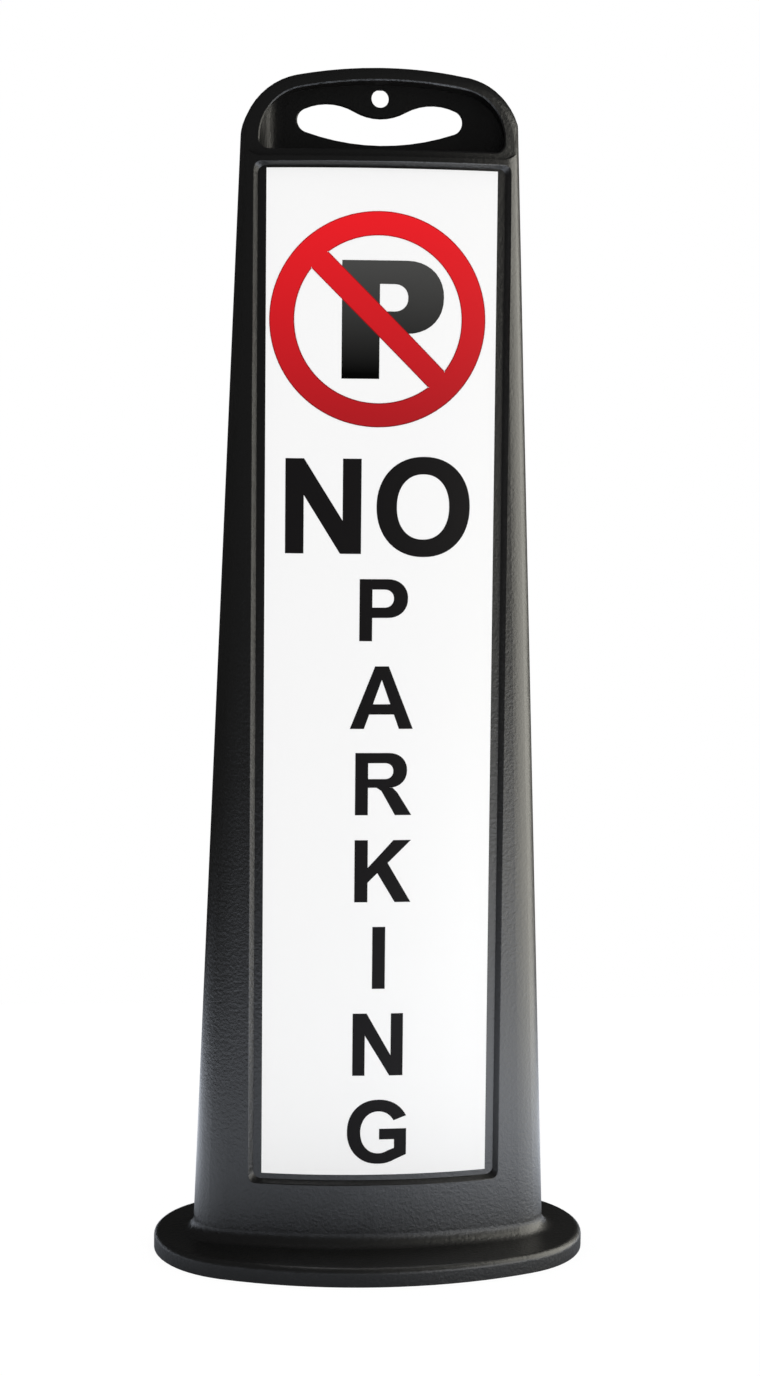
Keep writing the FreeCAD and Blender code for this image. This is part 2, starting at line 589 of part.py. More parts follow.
def dished(tag, solid, inset):
    """the same solid with a hand dish in its front and in its back"""
    dish = dish_cutter(tag, inset)
    return less(f"{tag}_handle", solid, joined(f"{tag}_dishes", [dish, mirrored(f"{tag}_back_dish", dish)]))


def round_handle():
    """the handle's outside, rounded along its outline"""
    body = body_of("handle_edge", plain_handle("outer", "0"))
    floor = number("handle_low - spare") + 1
    round_edges(body, "handle_rounding", "handle_round",
                lambda edge: max(point.z for point in ends(edge)) > floor
                and all(abs(point.y) > 1 for point in [*ends(edge), middle(edge)]))
    return body


def lipped_handle(solid):
    """the same handle with the edges of its two dishes rounded"""
    body = body_of("lipped_handle", solid)
    reach, low = number("dish_width / 2") + TOUCH, number("dish_low") - TOUCH
    high, deep = number("overall_height - dish_rim") + TOUCH, number("dish_cove + web / 2") + TOUCH
    break_edges(body, "dish_lips", "dish_lip",
                lambda edge: all(abs(point.x) < reach and low < point.z < high and abs(point.y) > deep
                                 for point in [*ends(edge), middle(edge)]))
    return body


def lipped_form(solid):
    """the outside of the panel with the mouths of its recesses rounded"""
    body = body_of("lipped_form", solid)
    reach, low, high = number("recess_width / 2") + 1, number("recess_low") - 1, number("recess_high") + 1
    radius, setback, drop = number("face_radius"), number("axis_setback"), number("axis_drop")
    lean = math.radians(number("face_draft"))

    def is_lip(edge):
        for point in [*ends(edge), middle(edge)]:
            back, up = abs(point.y) + setback, point.z + drop
            off_axis = math.hypot(point.x, back * math.cos(lean) + up * math.sin(lean))
            if abs(off_axis - radius) > 0.2 or abs(point.x) > reach or not low < point.z < high:
                return False
        return True

    round_edges(body, "mouth_lips", "mouth_lip", is_lip)
    return body


def handle_space(tag, inset):
    """everything at the handle's height, between rounded lower corners"""
    body = new_body(f"{tag}_handle_space")
    reach, low = f"handle_width / 2 + {inset}", f"handle_low - {inset}"
    outline = polygon_sketch(body, "XZ_Plane", f"{tag}_handle_frame", [[
        (f"-({reach})", low), (reach, low),
        (reach, "loft_top + spare"), (f"-({reach})", "loft_top + spare")]])
    pad(body, f"{tag}_handle_block", outline, "2 * base_depth", True)
    floor, side = number(low), number(reach)
    round_edges(body, f"{tag}_handle_low_corners", f"handle_corner_radius + {inset}",
                lambda edge: all(abs(point.z - floor) < TOUCH and abs(abs(point.x) - side) < TOUCH
                                 for point in ends(edge)) and abs(middle(edge).x) > 1)
    return body


def form(tag, inset, blank, grip):
    """a blank with the handle worked at its top and a recess cut into its front and its back"""
    recess = recess_cutter(tag, inset)
    topped = less(f"{tag}_topped", blank, less(f"{tag}_surplus", handle_space(tag, inset), grip))
    fronted = less(f"{tag}_fronted", topped, recess)
    return less(f"{tag}_form", fronted, mirrored(f"{tag}_back_recess", recess))


def make_panel():
    """the hollow panel, with its hand hole and its bolt hole"""
    outer_handle = lipped_handle(dished("outer", round_handle(), "0"))
    inner_handle = dished("inner", plain_handle("inner", "1.75 * wall"), "wall")
    outside = lipped_form(form("outer", "0", standing_body(), outer_handle))
    shell = less("hollow_shell", outside, form("inner", "wall", hollow_blank(), inner_handle))
    grip = new_body("grip_cutter")
    pad(grip, "grip_prism", grip_sketch(grip, "grip_outline"), "2 * base_depth", True)
    bolt = new_body("bolt_cutter")
    disc = disc_sketch(bolt, "XZ_Plane", "bolt_outline", "bolt_diameter / 2", "bolt_height")
    pad(bolt, "bolt_prism", disc, "2 * base_depth", True)
    body = body_of("panel_body", less("pierced_shell", shell, joined("holes", [grip, bolt])))
    skin, reach = number("web / 2"), number("grip_width / 2") + TOUCH
    low, high = number("grip_low") - TOUCH, number("grip_low + grip_height") + TOUCH
    break_edges(body, "grip_lips", "grip_lip",
                lambda edge: all(abs(abs(point.y) - skin) < TOUCH and abs(point.x) < reach and low < point.z < high
                                 for point in [*ends(edge), middle(edge)]) and len(edge.Vertexes) > 1)
    return body


def make_sheet():
    """the sign sheet, bent round the floor of the front recess"""
    body = new_body("sign_sheet")
    lean_with_face(body)
    profile = polygon_sketch(body, "YZ_Plane", "sheet_profile", [[
        ("-floor_radius", "sheet_low"), ("-(floor_radius + sheet_thickness)", "sheet_low"),
        ("-(floor_radius + sheet_thickness)", "sheet_high"), ("-floor_radius", "sheet_high")]])
    revolve(body, "bent_sheet", profile, "sheet_angle")
    return body


nodes = [make_panel(), make_sheet()]
doc.recompute()

for item in doc.Objects:
    if "Invalid" in item.State or "Error" in item.State:
        raise ValueError(f"{item.Name} isn't sound: {item.State}")
    shape = getattr(item, "Shape", None)
    if shape is not None and not item.isDerivedFrom("Sketcher::SketchObject"):
        if item.isDerivedFrom("App::GeoFeature") and not shape.isNull() and not shape.isValid():
            raise ValueError(f"{item.Name} has a shape that isn't valid")

os.makedirs("parts", exist_ok=True)
for node in nodes:
    if node.Shape.isNull() or len(node.Shape.Solids) != 1:
        raise ValueError(f"{node.Label} isn't one solid")
    node.Shape.exportStep(f"parts/{node.Label}.step")
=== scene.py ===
# %% [markdown]
# # A portable parking sign
# The object is a hollow moulded panel of black polyethylene that stands on its own flared foot, with a
# white reflective sheet stuck into the recess of its front. The CAD model gives the shapes. This lesson
# gives them their finish, prints the sheet, lights the scene and sets up the camera.

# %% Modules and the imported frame
import math

import bpy
import numpy as np
from mathutils import Matrix, Vector


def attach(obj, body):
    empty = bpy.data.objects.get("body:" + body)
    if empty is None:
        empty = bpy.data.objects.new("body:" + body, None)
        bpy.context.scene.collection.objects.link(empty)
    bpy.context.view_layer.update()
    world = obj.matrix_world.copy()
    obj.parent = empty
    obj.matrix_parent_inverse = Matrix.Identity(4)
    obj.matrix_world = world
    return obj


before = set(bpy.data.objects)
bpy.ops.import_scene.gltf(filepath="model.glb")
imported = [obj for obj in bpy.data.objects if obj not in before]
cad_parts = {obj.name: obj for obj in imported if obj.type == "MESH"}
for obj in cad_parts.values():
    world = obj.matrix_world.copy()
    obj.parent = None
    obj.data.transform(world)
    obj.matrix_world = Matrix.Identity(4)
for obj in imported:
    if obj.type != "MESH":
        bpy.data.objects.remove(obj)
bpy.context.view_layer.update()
print("nodes:", sorted(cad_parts))

# %% [markdown]
# Colours are picked as they look on a screen, in sRGB hex. The shaders work in linear light, so one
# function turns the one into the other with the usual sRGB curve. Blender works in metres, while the
# sizes of print and grain are easier to read in millimetres.

# %% Colour and length helpers
MM = 0.001


def linear(hex_colour):
    """sRGB #rrggbb to linear RGBA: c / 12.92 in the dark, else ((c + 0.055) / 1.055) ^ 2.4"""
    channels = np.array([int(hex_colour[i:i + 2], 16) for i in (1, 3, 5)]) / 255.0
    curve = np.where(channels <= 0.04045, channels / 12.92, ((channels + 0.055) / 1.055) ** 2.4)
    return (*curve.tolist(), 1.0)


print("middle grey on the screen is", round(linear("#808080")[0], 3), "of white in linear light")

# %% [markdown]
# A material is a small network of nodes. One helper adds a node, sets its options and its sockets, and
# links what comes from another node. The others start a material, put a new object or a new mesh into the
# scene, and give a finished material to a piece. A new piece stays at the origin, with its place in its
# mesh, so that patterns in its Object coordinates fit those of the panel.

# %% Node and object helpers
def add(tree, kind, sockets=None, **options):
    """adds one node: options are its own settings, sockets are values or other nodes' outputs"""
    node = tree.nodes.new(kind)
    for name, value in options.items():
        setattr(node, name, value)
    for name, value in (sockets or {}).items():
        if isinstance(value, bpy.types.NodeSocket):
            tree.links.new(value, node.inputs[name])
        else:
            node.inputs[name].default_value = value
    return node


def new_material(name):
    """a node material without any nodes yet, and its node tree"""
    material = bpy.data.materials.new(name)
    material.use_nodes = True
    material.node_tree.nodes.clear()
    return material, material.node_tree


def new_object(name, data):
    """puts a mesh, a lamp or a camera into the scene"""
    item = bpy.data.objects.new(name, data)
    bpy.context.scene.collection.objects.link(item)
    return item


def new_piece(name, points, faces):
    """a mesh object from a list of points, in metres, and a list of faces"""
    mesh = bpy.data.meshes.new(name)
    mesh.from_pydata(points, [], faces)
    return new_object(name, mesh)


def dress(piece, material):
    """gives a piece one material, in place of what it has"""
    piece.data.materials.clear()
    piece.data.materials.append(material)
    print(piece.name, "is finished in", material.name)


# %% [markdown]
# The panel is moulded polyethylene: soft, waxy and rather dull, with an IOR near 1.5 and the fine grain of
# a blasted mould. To the eye that gives a black with broad, dim highlights that are slightly broken up.
# Real grain of 0.3 mm would vanish at this distance, so it is drawn at 3 mm. A picture of grain would need
# unwrapped faces, so a noise in the space of the piece lifts the surface instead. A much wider noise lets
# the gloss wander a little, as handling does.

# %% Black moulded polyethylene
def moulded_polyethylene(grain_width=3 * MM, grain_depth=0.4 * MM, haze_width=120 * MM):
    material, tree = new_material("moulded_polyethylene")
    place = add(tree, "ShaderNodeTexCoord").outputs["Object"]
    grain = add(tree, "ShaderNodeTexNoise", {"Vector": place, "Scale": 1 / grain_width, "Detail": 3.0})
    haze = add(tree, "ShaderNodeTexNoise", {"Vector": place, "Scale": 1 / haze_width, "Detail": 4.0})
    tone = add(tree, "ShaderNodeMapRange", {"Value": haze.outputs["Fac"], "To Min": 0.34, "To Max": 0.44})
    bump = add(tree, "ShaderNodeBump", {"Height": grain.outputs["Fac"], "Strength": 1.0,
                                        "Distance": grain_depth})
    skin = add(tree, "ShaderNodeBsdfPrincipled", {
        "Base Color": linear("#161616"), "Roughness": tone.outputs["Result"], "IOR": 1.54,
        "Normal": bump.outputs["Normal"]})
    add(tree, "ShaderNodeOutputMaterial", {"Surface": skin.outputs["BSDF"]})
    return material


dress(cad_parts["panel_body"], moulded_polyethylene())

# %% [markdown]
# The sheet is white reflective sheeting: a clear glossy film, pressed in cells of about 3 mm, over tiny
# glass beads. To the eye that gives an even white with a soft shine. The beads are far too fine to draw,
# so only the cells are, as a slight change of the gloss.

# %% White reflective sheeting
def reflective_sheeting(cell_width=3 * MM):
    material, tree = new_material("reflective_sheeting")
    place = add(tree, "ShaderNodeTexCoord").outputs["Object"]
    cells = add(tree, "ShaderNodeTexVoronoi", {"Vector": place, "Scale": 1 / cell_width})
    tone = add(tree, "ShaderNodeMapRange", {"Value": cells.outputs["Distance"],
                                            "To Min": 0.42, "To Max": 0.5})
    film = add(tree, "ShaderNodeBsdfPrincipled", {
        "Base Color": linear("#fdfdfd"), "Roughness": tone.outputs["Result"], "IOR": 1.5})
    add(tree, "ShaderNodeOutputMaterial", {"Surface": film.outputs["BSDF"]})
    return material


dress(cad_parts["sign_sheet"], reflective_sheeting())

# %% [markdown]
# The front of the panel is part of a wide drum whose axis stands behind the panel and leans back with it,
# and the sheet is bent round that drum. The print could be projected onto the sheet with a modifier, but
# the drum is known exactly. So the print is drawn flat, in millimetres along the sheet's curve and up its
# lean, as a printer lays it out, and then wrapped round the drum by its formula.

# %% The sheet's drum
FACE_RADIUS, FACE_DRAFT, BASE_DEPTH = 420.0, math.radians(0.87), 129.6
RECESS_DEPTH, SHEET_THICKNESS = 5.0, 0.5
SHEET_RADIUS = FACE_RADIUS - RECESS_DEPTH + SHEET_THICKNESS
AXIS_SETBACK = FACE_RADIUS * math.cos(FACE_DRAFT) - BASE_DEPTH / 2
AXIS_DROP = FACE_RADIUS * math.sin(FACE_DRAFT)


def wrap(along, up, lift):
    """Places flat points on the drum: x = r sin(a), y = -r cos(a), with a = along / sheet radius and
    r = sheet radius + lift, then leans the drum back and moves it to its axis. Metres."""
    angle, radius = along / SHEET_RADIUS, SHEET_RADIUS + lift
    x, y = radius * np.sin(angle), -radius * np.cos(angle)
    lean_y = AXIS_SETBACK + y * math.cos(FACE_DRAFT) + up * math.sin(FACE_DRAFT)
    lean_z = -AXIS_DROP - y * math.sin(FACE_DRAFT) + up * math.cos(FACE_DRAFT)
    return np.stack([x, lean_y, lean_z], axis=-1) * MM


print("500 mm up the middle of the sheet:", wrap(0.0, 500.0, 0.0).round(4))

# %% [markdown]
# A stroke of the print is the field between two edges. Each edge is a row of points, and the field is a
# grid: one parameter runs along the edges and the other across from one edge to the other. A grid keeps
# to the drum when it is wrapped, which one big face wouldn't.

# %% Stroke grids
CELL = 6.0


def stroke_grid(edge_a, edge_b):
    """Grid point (u, v) = (1 - v) A(u) + v B(u), with A and B straight between the points of the edges.
    No cell is longer than CELL, in millimetres."""
    a, b = np.asarray(edge_a, float), np.asarray(edge_b, float)
    lengths = [np.linalg.norm(np.diff(edge, axis=0), axis=1) for edge in (a, b)]
    steps = np.maximum(1, np.ceil(np.maximum(*lengths) / CELL)).astype(int)
    u = np.concatenate([[0.0]] + [k + np.arange(1, count + 1) / count for k, count in enumerate(steps)])
    marks = np.arange(len(a))
    rows_a, rows_b = (np.stack([np.interp(u, marks, edge[:, axis]) for axis in (0, 1)], axis=-1)
                      for edge in (a, b))
    across = int(max(1, math.ceil(np.linalg.norm(a - b, axis=1).max() / CELL)))
    v = np.linspace(0, 1, across + 1)[None, :, None]
    return rows_a[:, None, :] * (1 - v) + rows_b[:, None, :] * v


def rim_of(grid):
    """what lies on the four sides of a grid, once round"""
    return np.concatenate([grid[:, 0], grid[-1, 1:], grid[-2::-1, -1], grid[0, -2:0:-1]])


def area_of(grid):
    """twice the signed area of a grid's rim, by the shoelace sum: the sum of x(i) y(i+1) - x(i+1) y(i)"""
    rim = rim_of(grid)
    after = np.roll(rim, -1, axis=0)
    return float(np.sum(rim[:, 0] * after[:, 1] - after[:, 0] * rim[:, 1]))


square = stroke_grid([(0, 0), (0, 10)], [(10, 0), (10, 10)])
print("a 10 mm square is a grid of", square.shape[:2], "points, with an area of", abs(area_of(square)) / 2)

# %% [markdown]
# Screen ink is a thin layer over the film. The grid is laid twice, a little apart: the outer skin faces
# forwards, the inner skin is the same grid with its faces turned over, and a wall of faces along the rim
# joins the two. Solidify would do nearly the same, but here the heights over the film are exact, so that
# the red can pass just over the black.

# %% Ink layers
BLACK_LAYER = (0.05, 0.12)


def ink_layer(grid, low, high):
    """points and faces of a closed layer over a grid, from the height low over the film to high"""
    if area_of(grid) < 0:
        grid = grid[:, ::-1]
    rows, columns = grid.shape[:2]
    count = rows * columns
    index = np.arange(count).reshape(rows, columns)
    along, up = grid[..., 0].ravel(), grid[..., 1].ravel()
    points = np.concatenate([wrap(along, up, lift) for lift in (high, low)])
    top = np.stack([index[:-1, :-1], index[1:, :-1], index[1:, 1:], index[:-1, 1:]], axis=-1)
    top = top.reshape(-1, 4)
    under = top[:, ::-1] + count
    rim = rim_of(index)
    after = np.roll(rim, -1)
    wall = np.stack([after, rim, rim + count, after + count], axis=-1)
    return points, np.concatenate([top, under, wall])


def printed(name, strokes, low, high, material):
    """one piece of print from a list of strokes, riding on the panel"""
    points, faces, start = [], [], 0
    for edges in strokes:
        some_points, some_faces = ink_layer(stroke_grid(*edges), low, high)
        points.append(some_points)
        faces.append(some_faces + start)
        start += len(some_points)
    piece = new_piece(name, np.concatenate(points).tolist(), np.concatenate(faces).tolist())
    dress(piece, material)
    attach(piece, "root")
    print(name, "has", len(piece.data.polygons), "faces")


print("in ink that square has", len(ink_layer(square, *BLACK_LAYER)[1]), "faces")

# %% [markdown]
# Round strokes follow ovals. A true ellipse looks pinched in heavy block capitals, so their ovals have an
# exponent a little over 2, which fills the corners.

# %% Arcs
FULLNESS = 2.15


def arc(centre, radii, start, end, count=18, power=2.0):
    """x = cx + rx sign(c) |c|^(2/power), y = cy + ry sign(s) |s|^(2/power), with c and s the cosine and
    sine of an angle that runs from start to end, in degrees, in count steps"""
    turn = np.radians(np.linspace(start, end, count + 1))
    circle = np.stack([np.cos(turn), np.sin(turn)], axis=-1)
    return np.array(centre) + np.array(radii) * np.sign(circle) * np.abs(circle) ** (2 / power)


print("halfway round a quarter turn:", arc((0, 0), (1, 1), 0, 90, count=2, power=FULLNESS)[1].round(3))

# %% [markdown]
# The legend is in plain block capitals. A font would bring its own outlines and hundreds of thin
# triangles, so the letters are drawn here. Each has its own box, one unit high, and a few strokes. The
# straight ones run between two edges of two or three points each.

# %% Straight block capitals
def box(left, low, right, high):
    """a straight stroke: the field between a left and a right edge, both upright"""
    return [(left, low), (left, high)], [(right, low), (right, high)]


def letter_a(middle=0.504, foot=0.224, fork=0.785, bar_low=0.231, bar_high=0.395):
    """two legs, the same left and right of the middle, that fork at one height, and a bar between them"""
    left = ([(0, 0), (0.31, fork), (0.395, 1)], [(foot, 0), (middle, fork), (middle, 1)])
    right = tuple([(2 * middle - x, y) for x, y in edge] for edge in left)
    inner = [(foot + (middle - foot) * y / fork, y) for y in (bar_low, bar_high)]
    return [left, right, (inner, [(2 * middle - x, y) for x, y in inner])]


def letter_k(stem=0.21, reach=0.902):
    """an upright, an arm that rises from it, and a leg that leaves the arm and reaches as far"""
    arm = ([(stem, 0.553), (0.619, 1)], [(stem, 0.316), (reach, 1)])
    leg = ([(0.365, 0.469), (0.647, 0)], [(0.53, 0.632), (reach, 0)])
    return [box(0, 0, stem, 1), arm, leg]


def letter_i(stem=0.205):
    """one upright"""
    return [box(0, 0, stem, 1)]


def letter_n(width=0.8, stem=0.194, high_start=0.221, low_start=0.588, high_end=0.326, low_end=0.647):
    """two uprights and a slope: its upper edge leaves the top at high_start and meets the right upright
    at the height high_end, its lower edge leaves the foot at low_start and meets the left one at low_end"""
    far = width - stem
    x = np.array([stem, high_start, low_start, far])
    upper = np.interp(x, [high_start, far], [1, high_end])
    lower = np.interp(x, [stem, low_start], [low_end, 0])
    slope = (np.stack([x, upper], axis=-1), np.stack([x, lower], axis=-1))
    return [box(0, 0, stem, 1), box(far, 0, width, 1), slope]


print("strokes: A", len(letter_a()), "K", len(letter_k()), "I", len(letter_i()), "N", len(letter_n()))

# %% [markdown]
# P and R share a bowl: a band between two half loops, whose ends run straight into the upright. G and O
# are bands between an outer and an inner oval, and G stops short and ends in an upright with a shelf.

# %% Round block capitals
def half_loop(stem, right, top, low, stretch=1.05):
    """from the stem along the top, round half an oval and back along the bottom. The oval is stretch
    times as wide as it is high."""
    half = (top - low) / 2
    centre = (right - half * stretch, (top + low) / 2)
    turn = arc(centre, (half * stretch, half), 90, -90, power=FULLNESS)
    return np.vstack([[(stem, top)], turn, [(stem, low)]])


def letter_p(stem=0.206, outer=(0.785, 1, 0.376), inner=(0.556, 0.833, 0.542)):
    """an upright and a bowl, whose two loops are each given by their right, their top and their low"""
    return [box(0, 0, stem, 1), (half_loop(stem, *outer), half_loop(stem, *inner))]


def letter_r():
    """a P with a bent leg under its bowl"""
    leg = ([(0.34, 0.442), (0.42, 0.39), (0.64, 0)], [(0.6, 0.442), (0.68, 0.36), (0.905, 0)])
    return letter_p(0.205, (0.83, 1, 0.442), (0.609, 0.837, 0.581)) + [leg]


def letter_g(right=0.94, inside=0.747, shelf_left=0.509, shelf_low=0.376, shelf_top=0.547):
    """a band from the upper right round to the lower right, an upright at its end and a shelf on that"""
    outer_end, inner_end = (right, 0.13), (inside, 0.235)
    outer = arc((0.495, 0.5), (0.495, 0.517), 28, 300, count=40, power=FULLNESS)
    inner = arc((0.495, 0.49), (0.285, 0.338), 33, 300, count=40, power=2.1)
    band = (np.vstack([outer, [outer_end]]), np.vstack([inner, [inner_end]]))
    upright = ([inner_end, (inside, shelf_low)], [outer_end, (right, shelf_low)])
    return [band, upright, box(shelf_left, shelf_low, right, shelf_top)]


def letter_o():
    """a closed band between two ovals, of which the inner one is a little fuller"""
    outer = arc((0.494, 0.495), (0.503, 0.528), 0, 360, count=64, power=FULLNESS)
    inner = arc((0.488, 0.4955), (0.282, 0.3435), 0, 360, count=64, power=2.2)
    return [(outer, inner)]


print("strokes: P", len(letter_p()), "R", len(letter_r()), "G", len(letter_g()), "O", len(letter_o()))

# %% [markdown]
# The colours are screen-printed ink, which lies on the film as a flat and rather matt layer. To the eye it
# stays deep where the film beside it shines. Each colour is printed as a soft blend from top to bottom, so
# its material mixes two colours by height. Speckles of 2 mm stand for the mesh of the printer's screen,
# which is too fine to show.

# %% Screen ink
def screen_ink(name, low_colour, high_colour, low, high, speckle_width=2 * MM):
    """ink that blends from one colour at the height low to another at the height high, in metres"""
    material, tree = new_material(name)
    place = add(tree, "ShaderNodeTexCoord").outputs["Object"]
    height = add(tree, "ShaderNodeSeparateXYZ", {"Vector": place}).outputs["Z"]
    share = add(tree, "ShaderNodeMapRange", {"Value": height, "From Min": low, "From Max": high})
    blend = add(tree, "ShaderNodeMix", {"Factor": share.outputs["Result"]}, data_type="RGBA")
    blend.inputs["A"].default_value = linear(low_colour)
    blend.inputs["B"].default_value = linear(high_colour)
    speckle = add(tree, "ShaderNodeTexNoise", {"Vector": place, "Scale": 1 / speckle_width,
                                               "Detail": 2.0})
    tone = add(tree, "ShaderNodeMapRange", {"Value": speckle.outputs["Fac"],
                                            "To Min": 0.45, "To Max": 0.6})
    ink = add(tree, "ShaderNodeBsdfPrincipled", {
        "Base Color": blend.outputs["Result"], "Roughness": tone.outputs["Result"], "IOR": 1.5,
        "Specular IOR Level": 0.1})
    add(tree, "ShaderNodeOutputMaterial", {"Surface": ink.outputs["BSDF"]})
    return material


letter_ink = screen_ink("black_screen_ink", "#131112", "#171516", 90 * MM, 745 * MM)
print(letter_ink.name, "has", len(letter_ink.node_tree.nodes), "nodes")

# %% [markdown]
# Two large letters stand side by side, and seven smaller ones stand in a column under them, which is how
# a long word fits a narrow panel. Each row of the list gives a piece's name, its letter, and the letter's
# left edge, foot and height on the flat sheet, in millimetres. Every letter is a piece of its own.

# %% The words
large_n = letter_n(width=0.803, stem=0.196, high_start=0.197, low_start=0.582, high_end=0.349,
                   low_end=0.616)
LEGEND = (
    ("word_n", large_n, -86.5, 656.8, 85.6),
    ("word_o", letter_o(), -3.2, 657.0, 85.6),
    ("column_p", letter_p(), -18.6, 577.9, 56.2),
    ("column_a", letter_a(), -26.5, 497.9, 57.1),
    ("column_r", letter_r(), -21.2, 418.8, 57.1),
    ("column_k", letter_k(), -21.2, 338.5, 57.3),
    ("column_i", letter_i(), -4.3, 258.0, 57.6),
    ("column_n", letter_n(), -21.7, 176.9, 58.1),
    ("column_g", letter_g(), -26.1, 94.9, 58.4),
)


def set_letter(strokes, left, base, height):
    """moves a letter's strokes to its place on the sheet: point * height + (left, base)"""
    return [tuple(np.asarray(edge, float) * height + (left, base) for edge in edges) for edges in strokes]


for name, strokes, left, base, height in LEGEND:
    printed(name, set_letter(strokes, left, base, height), *BLACK_LAYER, letter_ink)

# %% [markdown]
# The symbol's heavy letter is the same P with a wider upright. It is shaded from grey at its top down to
# black, so it gets an ink of its own.

# %% The symbol's letter
symbol_ink = screen_ink("shaded_black_ink", "#010101", "#474746", 818 * MM, 916 * MM)
heavy_p = letter_p(stem=0.322, outer=(0.876, 1, 0.384), inner=(0.566, 0.802, 0.571))
printed("symbol_letter", set_letter(heavy_p, left=-36.6, base=813.9, height=105.3), *BLACK_LAYER,
        symbol_ink)

# %% [markdown]
# The red ring and its bar lie over the letter and are shaded from bright down to dark. The dark line round
# the red is printed first, and the red runs over half of its width, as printers do to hide small gaps. The
# ends of the bar follow the inside of the ring, so the two fields meet without a gap. The bar is given by
# the angles of its ends' middles and by half of the angle that an end covers, in degrees. LINE is how much
# of the dark line shows, in millimetres, and LINE_ANGLE is that length as an angle inside the ring.

# %% Ring and bar
RING_MIDDLE, RING_OUT, RING_IN = np.array([-3.6, 866.7]), np.array([98.4, 96.0]), np.array([75.8, 74.5])
UPPER_END, LOWER_END, HALF_END = 134.8, 314.7, 8.0
LINE, LINE_ANGLE = 0.8, 0.6
LINE_LAYER, RED_LAYER = (0.15, 0.2), (0.15, 0.23)
RED_LOW, RED_HIGH = 775 * MM, 960 * MM


def ring(outer, inner, start=0, end=360):
    """the field between two ovals round the same middle, from one angle to another"""
    return tuple(arc(RING_MIDDLE, radii, start, end, count=120) for radii in (outer, inner))


def bar(radii, side_a, side_b):
    """the field between the bar's two ends, which lie on one oval; its sides are angles from the middles
    of the ends"""
    return (arc(RING_MIDDLE, radii, UPPER_END + side_a, UPPER_END + side_b, count=8),
            arc(RING_MIDDLE, radii, LOWER_END - side_a, LOWER_END - side_b, count=8))


line_ink = screen_ink("dark_red_ink", "#7d0409", "#b4060d", RED_LOW, RED_HIGH)
red_ink = screen_ink("shaded_red_ink", "#b0111a", "#ee1620", RED_LOW, RED_HIGH)
red_side = HALF_END - LINE_ANGLE
printed("red_outline", [
    ring(RING_OUT, RING_OUT - 2 * LINE),
    ring(RING_IN + 2 * LINE, RING_IN, UPPER_END + HALF_END, LOWER_END - HALF_END),
    ring(RING_IN + 2 * LINE, RING_IN, LOWER_END + HALF_END - 360, UPPER_END - HALF_END),
    bar(RING_IN, red_side - LINE_ANGLE, HALF_END),
    bar(RING_IN, -HALF_END, LINE_ANGLE - red_side)], *LINE_LAYER, line_ink)
printed("red_ring", [ring(RING_OUT - LINE, RING_IN + LINE)], *RED_LAYER, red_ink)
printed("red_bar", [bar(RING_IN + LINE, -red_side, red_side)], *RED_LAYER, red_ink)

# %% [markdown]
# The floor is pale paint, and the camera sees nine tenths of it as plain white, so that the shadow stays
# faint. Glossy rays see a painted glow instead, a painted pool of light that no lamp casts: painted shade
# close to the foot, as if the sign shaded it, brightest half a metre away, above all at the right front
# where the low soft box stands, and fading further out. All other rays see the paint, which throws light
# back up at the panel. A real studio gets the same with cards and flags on a white table. One material
# does it without more lamps.

# %% Floor material
def painted_floor(right_front=(1, -1, 0), white_share=0.9):
    material, tree = new_material("pale_floor")
    rays = add(tree, "ShaderNodeLightPath").outputs
    place = add(tree, "ShaderNodeTexCoord").outputs["Object"]
    reach = add(tree, "ShaderNodeVectorMath", {0: place}, operation="LENGTH").outputs["Value"]
    side = add(tree, "ShaderNodeVectorMath", {0: place, 1: right_front}, operation="DOT_PRODUCT")
    # painted shade and a painted pool of light: the floor's glow is dim close to the foot and fades further
    # out
    painted_shade_near = add(tree, "ShaderNodeMapRange", {
        "Value": reach, "From Min": 0.22, "From Max": 0.5, "To Min": 0.1, "To Max": 1.0})
    faded_far = add(tree, "ShaderNodeMapRange", {
        "Value": reach, "From Min": 0.55, "From Max": 1.0, "To Min": 1.0, "To Max": 0.25})
    by_reach = add(tree, "ShaderNodeMath", {0: painted_shade_near.outputs["Result"],
                                            1: faded_far.outputs["Result"]}, operation="MULTIPLY")
    by_side = add(tree, "ShaderNodeMapRange", {
        "Value": side.outputs["Value"], "From Min": 0.25, "From Max": 0.6, "To Min": 3.0, "To Max": 6.0})
    painted_glow_strength = add(tree, "ShaderNodeMath", {0: by_reach.outputs["Value"],
                                            1: by_side.outputs["Result"]}, operation="MULTIPLY")
    # the painted glow: an emission that only glossy rays see on the floor, a painted reflection in place of
    # a lamp
    painted_glow = add(tree, "ShaderNodeEmission", {"Color": linear("#ecf3ff"),
                                             "Strength": painted_glow_strength.outputs["Value"]})
    paint = add(tree, "ShaderNodeBsdfDiffuse", {"Color": linear("#f4f4f4")})
    white = add(tree, "ShaderNodeEmission", {"Color": linear("#ffffff"), "Strength": 1.03})
    whitened = add(tree, "ShaderNodeMath", {0: rays["Is Camera Ray"], 1: white_share},
                   operation="MULTIPLY")
    seen = add(tree, "ShaderNodeMixShader", {
        0: whitened.outputs["Value"], 1: paint.outputs["BSDF"], 2: white.outputs["Emission"]})
    surface = add(tree, "ShaderNodeMixShader", {
        0: rays["Is Glossy Ray"], 1: seen.outputs["Shader"], 2: painted_glow.outputs["Emission"]})
    add(tree, "ShaderNodeOutputMaterial", {"Surface": surface.outputs["Shader"]})
    return material


pale_floor = painted_floor()
print(pale_floor.name, "has", len(pale_floor.node_tree.nodes), "nodes")

# %% [markdown]
# The floor is one flat square of two metres, with its middle under the sign. The camera looks down on it,
# so it needs no upturned sweep. The world round it is a plain white dome. Glossy rays see the dome almost
# dark, so that the black panel stays black where no lamp is mirrored.

# %% Floor and world
FLOOR_HALF, MIRRORED_DOME = 1.0, 0.03

